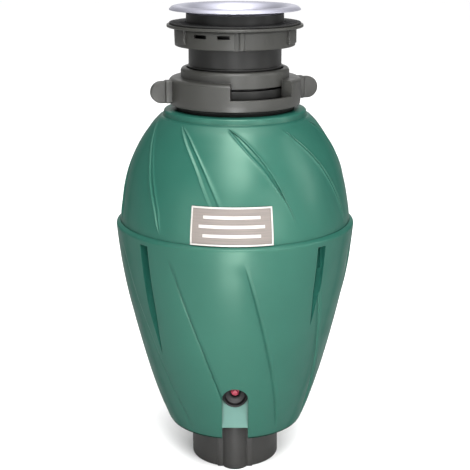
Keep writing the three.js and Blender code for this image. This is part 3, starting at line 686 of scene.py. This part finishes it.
def upper_flute(z, sector):
    """Angle of the middle of an upper flute, its half width and how much of its depth it has."""
    at = np.clip(z, FLUTE_PATH[0][0], FLUTE_PATH[-1][0])
    angle = curve_through([(height, turn) for height, turn, _ in FLUTE_PATH])(at)
    half = curve_through([(height, width) for height, _, width in FLUTE_PATH])(at)
    half *= FLUTE_WIDTHS.get(sector, 1)
    if sector == 0:
        half *= np.clip((z - 260) / 42, 0.12, 1)
    if sector == 8:
        angle += 1.9
    inside = FLUTE_PATH[0][0] < z < FLUTE_PATH[-1][0]
    return angle + sector * SECTOR, max(half, 0.2), np.clip((half - 0.2) / 1.2, 0, 1) * inside


def flute_section(half, depth, floor):
    """Offsets across a flute and how far each point stands out: lips, sloping walls and a flat floor."""
    wall = min(1.9, half * 0.7)
    crest = FLUTE_EDGE[-1][1]
    lip = [(half + out, rise * depth) for out, rise in FLUTE_EDGE]
    side = [(half - wall * part, (crest - (crest + floor) * drop) * depth)
            for part, drop in ((0.15, 0.07), (0.4, 0.35), (0.65, 0.72), (1, 1))]
    flat = [((half - wall) * part, -floor * depth) for part in (0.7, 0.35, 0)]
    right = np.array(lip + side + flat)
    left = right[:-1] * (-1, 1)
    return np.concatenate([left, right[::-1]])


def upper_rows():
    """Rings of the upper shell's outside, with the columns drawn in to the flutes' edges."""
    heights = np.concatenate([np.linspace(UPPER_LOW.z, 318, 130), np.linspace(318, 323.6, 14)[1:]])
    between = np.linspace(0, 1, 20)[1:-1]
    rings = []
    for z in heights:
        r = float(upper_radius(z))
        flutes = [upper_flute(z, sector) for sector in range(SECTORS)]
        turns, radii = [], []
        pairs = zip(flutes, flutes[1:] + flutes[:1])
        for sector, ((angle, half, depth), (after, next_half, _)) in enumerate(pairs):
            section = flute_section(half, depth, FLUTE_FLOORS.get(sector, FLUTE_FLOOR))
            across = section[:, 0] / r * 180 / math.pi
            start = angle + across[-1]
            end = after - (next_half + FLUTE_EDGE[0][0]) / r * 180 / math.pi
            end += 360 if end < start else 0
            turns += [angle + across, start + (end - start) * between]
            radii += [r + section[:, 1], np.full_like(between, r)]
        rings.append(ring_points(np.concatenate(turns), np.concatenate(radii), z))
    return rings


def ring_points(angles, radii, z):
    """One ring of points from their angles and radii."""
    turn = np.radians(angles)
    return np.stack([radii * np.sin(turn), -radii * np.cos(turn), np.full_like(radii, z)], -1)


def plain_ring(like, radius, z):
    """A round ring with the same columns as another ring."""
    turn = np.arctan2(like[:, 0], -like[:, 1])
    return np.stack([radius * np.sin(turn), -radius * np.cos(turn), np.full_like(turn, z)], -1)


def upper_shell():
    """Green dome: its flutes, its crown and the hole for the dishwasher inlet."""
    rings = upper_rows()
    last = rings[-1]
    crown = rounded([
        (66.2, 324.1, 0.4), (63.4, 324.1, 0.5), (62.9, 328.6, 0.9), (61.8, UPPER_HIGH.z, 0.8),
        (51.2, UPPER_HIGH.z, 0.4), (51.2, 326.9, 0.4), (60, 326.9, 0.4), (60, 321.2, 0.6), (66.6, 320.4, 1),
    ], 4)
    rings += [plain_ring(last, r, z) for r, z in crown]
    for z in np.linspace(316, UPPER_LOW.z, 18):
        rings.append(plain_ring(rings[0] if z < 300 else last, float(upper_radius(z)) - 3.4, z))
    shell = skin("upper_shell_moulding", np.array(rings))
    cut(shell, rod("inlet_hole", INLET_R + 1.2, 70, 130, 180, INLET_Z))
    for angle, _, _ in POCKETS:
        boss = tube("boss", 0, 5, 227, 241, 24)
        hole = tube("hole", 0, 1.8, 226, 238, 16)
        join(shell, place(boss, 0, polar(SCREW_R - 3.4, angle, 0)))
        cut(shell, place(hole, 0, polar(SCREW_R, angle, 0)))
    finish_piece(shell, "housing", "green_shell", GREEN, "upper_shell", angle=38)


def lower_crease(z):
    """Angle of the first crease at a height: it leans further out towards the foot."""
    drop = 218 - z
    return 4.6 + 0.148 * drop + 0.000205 * drop ** 2


def lower_rows():
    """Rings of the lower shell's outside: blades that sink towards ten creases and step up at them."""
    heights = np.concatenate([np.linspace(40.4, 120, 70), np.linspace(120, 226.5, 70)[1:]])
    near = np.array([-6, -4.4, -3.2, -2.4, -2, -1.6, -1.2, -0.8, -0.4, 0, 0.4, 0.8, 1.1, 1.5, 1.9, 2.4,
                     3, 3.8, 5])
    sectors = np.arange(SECTORS)[:, None] * SECTOR
    rings = []
    for z in heights:
        r = float(lower_radius(z))
        width = SECTOR * r * math.pi / 180
        u = np.concatenate([-6 - (width - 11) * np.linspace(1, 0, 28)[1:-1], near])
        depth = CREASE_DEPTH * smoothstep(218.6, 201, z) * smoothstep(41, 62, z)
        dip = np.exp(np.clip(u + 1.9, None, 0) / 10) * smoothstep(5 - width, 12 - width, u)
        rise = 0.75 * smoothstep(-2.2, -0.6, u) + 0.25 * np.clip((u + 0.6) / 2.5, 0, 1)
        groove = 0.4 * smoothstep(208, 182, z) * np.exp(-((u + 1.6) / 0.9) ** 2)
        lip = 0.08 * np.exp(-((u - 2.3) / 0.9) ** 2)
        fade = np.ones((SECTORS, 1))
        fade[CROSSING] = smoothstep(196, 165, z)
        radii = r + depth * fade * (lip - groove - dip * (1 - rise))
        angles = lower_crease(z) + sectors + u / r * 180 / math.pi
        rings.append(ring_points(angles.ravel(), radii.ravel(), z))
    return rings


def pocket_plan(tip, full, half):
    """Plan of a pocket: a pointed inner edge, then straight sides out past the shell."""
    corners = [(-half, -full, 1.5), (0, -tip, 0.6), (half, -full, 1.5), (half, -BEYOND), (-half, -BEYOND)]
    return rounded(corners, 4)


def lower_cavity():
    """What the lower shell holds: its outside less a wall, with pads behind the pockets and the switch."""
    wall = 2.6
    inside = [(0, 41.5), (60, 41.5)] + [(float(lower_radius(z)) - wall, z) for z in np.linspace(45, 218, 14)]
    cavity = turned("cavity", inside + [(103.2, 221.4), (100, 224.3), (100, 230), (0, 230)], 160)
    for angle, tip, full in POCKETS:
        back = min(tip, SCREW_R - 5) - 2.4
        cut(cavity, place(prism("pad", pocket_plan(back, full - 4, 6.9), 100, 240), angle))
    half = RESET_HALF + 2.4
    top = RESET_HOLE_Z + RESET_HALF + 2.4
    return cut(cavity, block("reset_pad", (-half, -90, 47), (half, FLOOR_Y + wall, top)))


def lower_shell():
    """Green bowl: creases, a stepped seam, four screw pockets, the reset hole, channel and notch."""
    rings = lower_rows()
    low, lip_top = LOWER_LOW.z, LOWER_HIGH.z
    head, foot = rings[-1], rings[0]
    seam = UPPER_HIGH.x + 0.2
    ledge = 226.7
    top = rounded([(LOWER_HIGH.x, 227), (LOWER_HIGH.x - 0.3, 228.6, 0.8), (seam, lip_top, 0.2),
                   (seam, ledge, 0.1), (40, ledge)], 4)
    bottom = rounded([(0.01, low), (58.4, low), (62.3, low + 0.8, 2.6)], 5)
    rings = [plain_ring(foot, r, z) for r, z in bottom] + rings
    rings += [plain_ring(head, r, z) for r, z in top]
    rings.append(plain_ring(head, 0.01, ledge))
    shell = skin("lower_shell_moulding", np.array(rings))
    cut(shell, lower_cavity(), tube("foot_hole", 0, 42, 30, 60), tube("head_hole", 0, 100, 224, 240))
    for angle, tip, full in POCKETS:
        cut(shell, place(prism("pocket", pocket_plan(tip, full, POCKET_HALF), 100, POCKET_TOP), angle))
        well = turned("well", [(0, 200), (4.4, 203), (4.4, POCKET_TOP), (0, POCKET_TOP)], 32)
        hole = tube("hole", 0, 1.9, 220, 230, 16)
        cut(shell, *(place(tool, 0, polar(SCREW_R, angle, 0)) for tool in (well, hole)))
    cut(shell, block("channel", (-RESET_HALF, -100, FLOOR_Z), (RESET_HALF, FLOOR_Y, RESET_HOLE_Z)))
    cut(shell, block("notch", (-RESET_HALF, -100, 30), (RESET_HALF, -40, FLOOR_Z)))
    cut(shell, rod("reset_hole", RESET_HALF + 0.05, 50, 100, 0, RESET_HOLE_Z, 96))
    cut(shell, rod("outlet_hole", OUTLET_R + 2, 70, 130, 180, OUTLET_Z, 96))
    finish_piece(shell, "housing", "green_shell", GREEN, "lower_shell", angle=38)
    paint_lower_shell(shell)


def paint_lower_shell(shell):
    """Painted light on the flat floor of the channel, painted shade and a duller gloss in the pockets, and
    edges well rounded at their mouths.
    """
    for look in (PAINTED_LIGHT_GREEN, PAINTED_SHADE_GREEN, RIM_GREEN):
        shell.data.materials.append(look)
    for face in shell.data.polygons:
        # painted light: the channel's upright floor gets the paler copy of the green
        if face.normal.y < -0.99 and abs(face.center.y / MM - FLOOR_Y) < 0.1:
            face.material_index = 1
        # painted shade: pocket walls and roofs get the darker copy of the green, their mouths the rounder
        # edges
        elif near_pocket(face):
            face.material_index = 2 if in_pocket(face) else 3


def pocket_place(face, pocket):
    """How far across a pocket and how far out a face lies, and the pocket's outward direction."""
    outward = polar(1, pocket[0], 0)
    x, y, _ = face.center / MM
    return x * -outward.y + y * outward.x, x * outward.x + y * outward.y, outward


def near_pocket(face):
    """True for a screw pocket's own faces and for those just round its mouth."""
    if not 108 < face.center.z / MM < POCKET_TOP + 2:
        return False
    for pocket in POCKETS:
        across, out, _ = pocket_place(face, pocket)
        _, tip, full = pocket
        half = POCKET_HALF * min(1, (out - tip) / (full - tip))
        if out > tip - 2 and abs(across) < half + 1.6:
            return True
    return False


def in_pocket(face):
    """True for the walls and the roof of a screw pocket in the lower shell."""
    z = face.center.z / MM
    if not 110 < z < POCKET_TOP + 0.1:
        return False
    for pocket in POCKETS:
        across, out, outward = pocket_place(face, pocket)
        buried = out < float(lower_radius(z)) - 3
        upright = abs(face.normal.z) < 0.03 and (buried or face.normal.dot(outward) < 0.9)
        if abs(across) < POCKET_HALF + 0.15 and out > pocket[1] - 0.1 and (z > POCKET_TOP - 0.1 or upright):
            return True
    return False


def shell_screws():
    for number, (angle, _, _) in enumerate(POCKETS, 1):
        low, high = span(f"shell_screw_{number}")
        top = POCKET_TOP - 0.3
        screw = turned(f"shell_screw_head_{number}", [
            (0, low.z, 0), (2.4, low.z + 0.2, 0.8), (3.8, top - 1.6, 0.8), (3.8, top, 0.2), (1.5, top),
            (1.5, high.z - 2), (0, high.z),
        ], 40)
        for turn in (0, 90):
            cut(screw, place(block("recess", (-2, -0.45, low.z - 1), (2, 0.45, low.z + 1.6)), turn))
        place(screw, 0, polar(SCREW_R, angle, 0))
        finish_piece(screw, "housing", "stainless", STAINLESS, f"shell_screw_{number}")


# ---------------------------------------------------------------- name panel
def curved_plate(name, angles, heights, out, inset, columns=60, rows=14):
    """Plate that follows the upper shell between two angles and two heights."""
    turn = np.radians(np.linspace(*angles, columns))
    faces = []
    for offset in (inset, out):
        for z in np.linspace(*heights, rows):
            r = float(upper_radius(z)) + offset
            faces.append(np.stack([r * np.sin(turn), -r * np.cos(turn), np.full_like(turn, z)], -1))
    grid = np.array(faces).reshape(2, rows, columns, 3)
    verts = grid.reshape(-1, 3).tolist()
    at = lambda side, row, column: (side * rows + row) * columns + column
    quads = []
    for row in range(rows - 1):
        for column in range(columns - 1):
            for side in (0, 1):
                quads.append((at(side, row, column), at(side, row, column + 1),
                              at(side, row + 1, column + 1), at(side, row + 1, column)))
    rim = [(0, c) for c in range(columns)] + [(r, columns - 1) for r in range(1, rows)]
    rim += [(rows - 1, c) for c in range(columns - 2, -1, -1)] + [(r, 0) for r in range(rows - 2, 0, -1)]
    for (r0, c0), (r1, c1) in zip(rim, rim[1:] + rim[:1]):
        quads.append((at(0, r0, c0), at(0, r1, c1), at(1, r1, c1), at(1, r0, c0)))
    return clean(new_object(name, verts, quads), 0.0005)


def badge():
    """Brushed panel with a raised pale border and three plain raised bars."""
    angles = (-20.9, 17.8)
    low, high = BADGE_LOW.z, BADGE_HIGH.z
    panel = soften(curved_plate("badge_panel", angles, (low, high), 0.85, 0.2), 0.2, 2)
    finish_piece(panel, "housing", "badge_metal", PANEL, "badge")
    edge = 1.25
    inset = math.degrees(edge / 103)
    frame_plate = curved_plate("badge_border", angles, (low, high), 1.35, 0.3)
    window = curved_plate("window", (angles[0] + inset, angles[1] - inset), (low + edge, high - edge), 3, -2)
    border = soften(cut(frame_plate, window), 0.22, 2, 50)
    finish_piece(border, "housing", "badge_metal", TRIM)
    middle = (low + high) / 2
    centre = sum(angles) / 2
    bars = ((middle - 7.6, 13.5), (middle, 15.5), (middle + 7.6, 13.5))
    for number, (height, reach) in enumerate(bars, 1):
        turns = (centre - reach, centre + reach)
        bar = curved_plate(f"badge_bar_{number}", turns, (height - 1.3, height + 1.3), 1.3, 0.5, 40, 4)
        finish_piece(soften(bar, 0.3, 2), "housing", "badge_metal", TRIM)


# ---------------------------------------------------------------- base and reset switch
def base_cover():
    """Round foot with a half-round rib at the front, hollow from above."""
    top = BASE_HIGH.z
    edge = BASE_HIGH.x
    cover = turned("base_cover_moulding", [
        (0, 0), (edge - 0.6, 0, 0.8), (edge, 0.8, 0.5), (edge, top, 0.6), (0, top),
    ], 192)
    rib = turned("rib", [(0, 0), (12.2, 0, 0.7), (12.2, top, 0.5), (0, top)], 96)
    join(cover, place(rib, 0, (0, BASE_LOW.y + 12.2, 0)))
    join(cover, soften(block("rib_block", (-16, -38.3, 0), (16, -30, top)), 0.5, 2))
    cut(cover, tube("base_hollow", 0, edge - 3, 3, top + 1, 96))
    cut(cover, place(tube("gland_hole", 0, 8, -1, 5, 48), 0, (0, GLAND_Y, 0)))
    finish_piece(cover, "housing", "dark_plastic", DARK, "base_cover")


def cord_gland():
    low, high = span("cord_gland")
    gland = turned("cord_gland_bush", [
        (4.9, low.z, 0.5), (7.7, low.z, 0.4), (7.7, 3.3, 0.2), (10.5, 3.3, 0.4), (10.5, high.z, 0.6),
        (4.9, high.z, 0.5),
    ], 64)
    finish_piece(place(gland, 0, (0, GLAND_Y, 0)), "housing", "rubber", RUBBER, "cord_gland")


def level(name, corners, columns=96):
    """Solid turned about a level axis towards the front, at the reset button's height."""
    return place(turned(name, corners, columns), 0, (0, 0, RESET_Z), tilt=90)


def reset_switch():
    front, back = -BEZEL_LOW.y, -BEZEL_HIGH.y
    outer = RESET_HALF - 0.3
    bezel = level("reset_bezel_funnel", [
        (outer, back, 0.2), (outer, front - 0.5, 0.3), (outer - 0.9, front, 0.4), (9.3, front - 0.6, 0.5),
        (8.6, front - 2.6, 0.5), (5.4, front - 3.4, 0.8), (4.1, front - 4.4, 0.4), (4.1, back, 0.2),
    ])
    for vertex in bezel.data.vertices:      # the funnel leans from the hole in the shell to the button
        reach = Vector((vertex.co.x, vertex.co.z - RESET_Z * MM)).length / MM
        vertex.co.z += (RESET_HOLE_Z - RESET_Z) * MM * float(smoothstep(5.6, 9, reach))
    finish_piece(bezel, "housing", "black_plastic", BEZEL_LOOK, "reset_bezel")
    face, rear = -BUTTON_LOW.y, -BUTTON_HIGH.y
    button = level("reset_button_cap", [
        (0, rear), (3.8, rear, 0.2), (3.8, face - 2.2, 0.3), (3.4, face - 1.7, 0.2), (2.5, face - 1.5, 0.3),
        (2.3, face, 0.5), (0, face),
    ], 72)
    finish_piece(button, "reset_button", "red_plastic", RED, "reset_button")


# ---------------------------------------------------------------- pipes at the back
def hopper():
    """Grinding chamber, with a hose barb for a dishwasher on its inlet."""
    low, high = HOPPER_LOW.z, HOPPER_HIGH.z
    wide = HOPPER_HIGH.x
    body = turned("hopper_moulding", [
        (wide, low, 0.4), (wide, 260, 6), (79, 282, 8), (63, 303, 8), (49.7, 316, 5), (49.7, 337.8, 0.5),
        (53.4, 338.4, 0.6), (53.4, high, 0.6), (47.3, high, 0.6), (47.3, 314.6, 5), (61.4, 300.6, 8),
        (76.6, 280.6, 8), (wide - 2.4, 258.6, 6), (wide - 2.4, low, 0.3),
    ], 144)
    end = HOPPER_HIGH.y
    barbs = [(0, 78), (10, 78), (10, end - 20, 0.3)]
    for i in range(3):
        start = end - 20 + 5.5 * i
        barbs += [(INLET_R, start + 0.6, 0.4), (10, start + 5.5, 0.3)]
    barbs += [(10, end - 1, 0.8), (9.4, end, 0.4), (0, end)]
    pipe = place(turned("pipe", barbs, 72), 180, (0, 0, INLET_Z), tilt=90)
    join(body, pipe)
    cut(body, rod("inlet_bore", 7.5, 60, end + 1, 180, INLET_Z))
    finish_piece(body, "housing", "dark_plastic", DARK, "hopper")


def drain_chamber():
    """Bowl under the turntable, with the spout that the drain pipe fits."""
    low, high = DRAIN_LOW.z, DRAIN_HIGH.z
    wide = DRAIN_HIGH.x
    wall = 3
    bowl = turned("drain_chamber_moulding", [
        (9, low), (60, low, 2), (wide - 6, low + 4, 4), (wide, low + 12, 4), (wide, high, 0.4),
        (wide - wall, high, 0.4),
        (wide - wall, low + 14, 4), (wide - 9, low + 7, 3), (58, low + wall, 2), (20, low + wall, 2),
        (20, low + 30, 1), (9, low + 30, 0.5),
    ], 144)
    end = DRAIN_HIGH.y
    spout = place(turned("spout", [
        (0, 70), (OUTLET_R, 70), (OUTLET_R, end - 5.4, 0.2), (OUTLET_R, end, 0.8), (0, end),
    ], 96), 180, (0, 0, OUTLET_Z), tilt=90)
    cut(spout, tube("inside", 0, wide - wall, low, high))
    join(bowl, spout)
    cut(bowl, rod("outlet_bore", OUTLET_BORE, 60, end + 1, 180, OUTLET_Z, 96))
    finish_piece(bowl, "housing", "dark_plastic", DARK, "drain_chamber")


def outlet_flange():
    """Pressed plate round the outlet, with two ears for screws."""
    near, far = PLATE_LOW.y, PLATE_HIGH.y
    ear = 33
    hull = []
    for side, start in ((1, -60), (-1, 120)):
        ear_arc = np.radians(np.linspace(start, start + 120, 17))
        hull += [(side * ear + 8 * math.cos(t), 8 * math.sin(t)) for t in ear_arc]
        side_arc = np.radians(np.linspace(start + 144, start + 192, 17))
        hull += [(30 * math.cos(t), 30 * math.sin(t)) for t in side_arc]
    plate = soften(prism("outlet_flange_plate", hull, near, far), 0.6, 3)
    for side in (-1, 1):
        cut(plate, prism("screw_hole", circle(2.8, 24, side * 34), near - 1, far + 1))
    place(plate, 180, (0, 0, OUTLET_Z), tilt=90)
    cut(plate, rod("plate_bore", OUTLET_R + 0.3, near - 2, far + 2, 180, OUTLET_Z, 96))
    finish_piece(plate, "housing", "stainless", STAINLESS, "outlet_flange")


# ---------------------------------------------------------------- floor, lights and camera
def stage():
    """Pale floor, paler to the camera than in the light that it throws back."""
    bpy.ops.mesh.primitive_plane_add(size=60, location=(0, 0, 0))
    floor = bpy.context.object
    floor.name = "studio_floor"
    look = bpy.data.materials.new("studio_floor")
    look.use_nodes = True
    shader = look.node_tree.nodes["Principled BSDF"]
    shader.inputs["Roughness"].default_value = 0.8
    pale = look.node_tree.nodes.new("ShaderNodeMix")
    pale.data_type = "RGBA"
    pale.inputs["A"].default_value = grey(0.5)
    pale.inputs["B"].default_value = grey(0.97)
    ray = look.node_tree.nodes.new("ShaderNodeLightPath")
    look.node_tree.links.new(ray.outputs["Is Camera Ray"], pale.inputs["Factor"])
    look.node_tree.links.new(pale.outputs["Result"], shader.inputs["Base Color"])
    floor.data.materials.append(look)


def backdrop():
    """White world, dimmer where it lights the object than where the camera sees it."""
    world = bpy.data.worlds.new("studio")
    bpy.context.scene.world = world
    world.use_nodes = True
    nodes, links = world.node_tree.nodes, world.node_tree.links
    seen = nodes.new("ShaderNodeBackground")
    seen.inputs["Color"].default_value = grey(1)
    dim = nodes["Background"]
    dim.inputs["Color"].default_value = grey(1)
    dim.inputs["Strength"].default_value = 0.3
    mix = nodes.new("ShaderNodeMixShader")
    links.new(nodes.new("ShaderNodeLightPath").outputs["Is Camera Ray"], mix.inputs["Fac"])
    links.new(dim.outputs["Background"], mix.inputs[1])
    links.new(seen.outputs["Background"], mix.inputs[2])
    links.new(mix.outputs["Shader"], nodes["World Output"].inputs["Surface"])


def area_light(name, place_at, size, power, target=(0, 0, 0.23)):
    """Soft rectangle of light, in metres and watts, turned to a target."""
    data = bpy.data.lights.new(name, "AREA")
    data.shape = "RECTANGLE"
    data.size, data.size_y = size
    data.energy = power
    light = bpy.data.objects.new(name, data)
    light.location = place_at
    light.rotation_euler = (Vector(target) - Vector(place_at)).to_track_quat("-Z", "Y").to_euler()
    COLLECTION.objects.link(light)


def lights():
    sky = bpy.data.lights.new("sky", "SUN")
    sky.energy = 2.4
    sky.angle = math.radians(60)
    overhead = bpy.data.objects.new("sky", sky)
    COLLECTION.objects.link(overhead)
    area_light("key_softbox", (0.06, -1.1, 1.55), (0.66, 1.7), 50, (0, 0, 0.28))
    area_light("right_softbox", (1.2, -1.5, 0.5), (0.7, 0.9), 12)
    area_light("left_softbox", (-1.3, -1.4, 0.4), (0.7, 0.9), 6)
    area_light("front_softbox", (-0.1, -2.0, 0.5), (0.6, 0.9), 5)
    area_light("low_card", (0.0, -0.52, 0.02), (0.12, 0.36), 4, (0, -0.3, 0.19))
    area_light("right_strip", (1.5, -0.2, 0.9), (0.4, 1.2), 9)
    area_light("back_card", (0, 2.6, 1.1), (2.4, 1.2), 10)


def camera():
    """Looks from the front, 15.4 degrees above the level."""
    data = bpy.data.cameras.new("camera")
    data.sensor_width = 36
    data.lens = 87.7
    view = bpy.data.objects.new("camera", data)
    view.location = (0, -1.0076, 0.4908)
    view.rotation_euler = (math.radians(90 - 15.445), 0, 0)
    COLLECTION.objects.link(view)
    bpy.context.scene.camera = view
    bpy.context.scene.view_settings.view_transform = "Standard"


camera()
stage()
backdrop()
lights()
dress_cad_nodes()
sink_flange()
flange_sleeve()
flat_rings()
mounting_nut()
mounting_ring()
neck_cushion()
splash_guard()
upper_shell()
lower_shell()
shell_screws()
badge()
base_cover()
cord_gland()
reset_switch()
hopper()
drain_chamber()
outlet_flange()
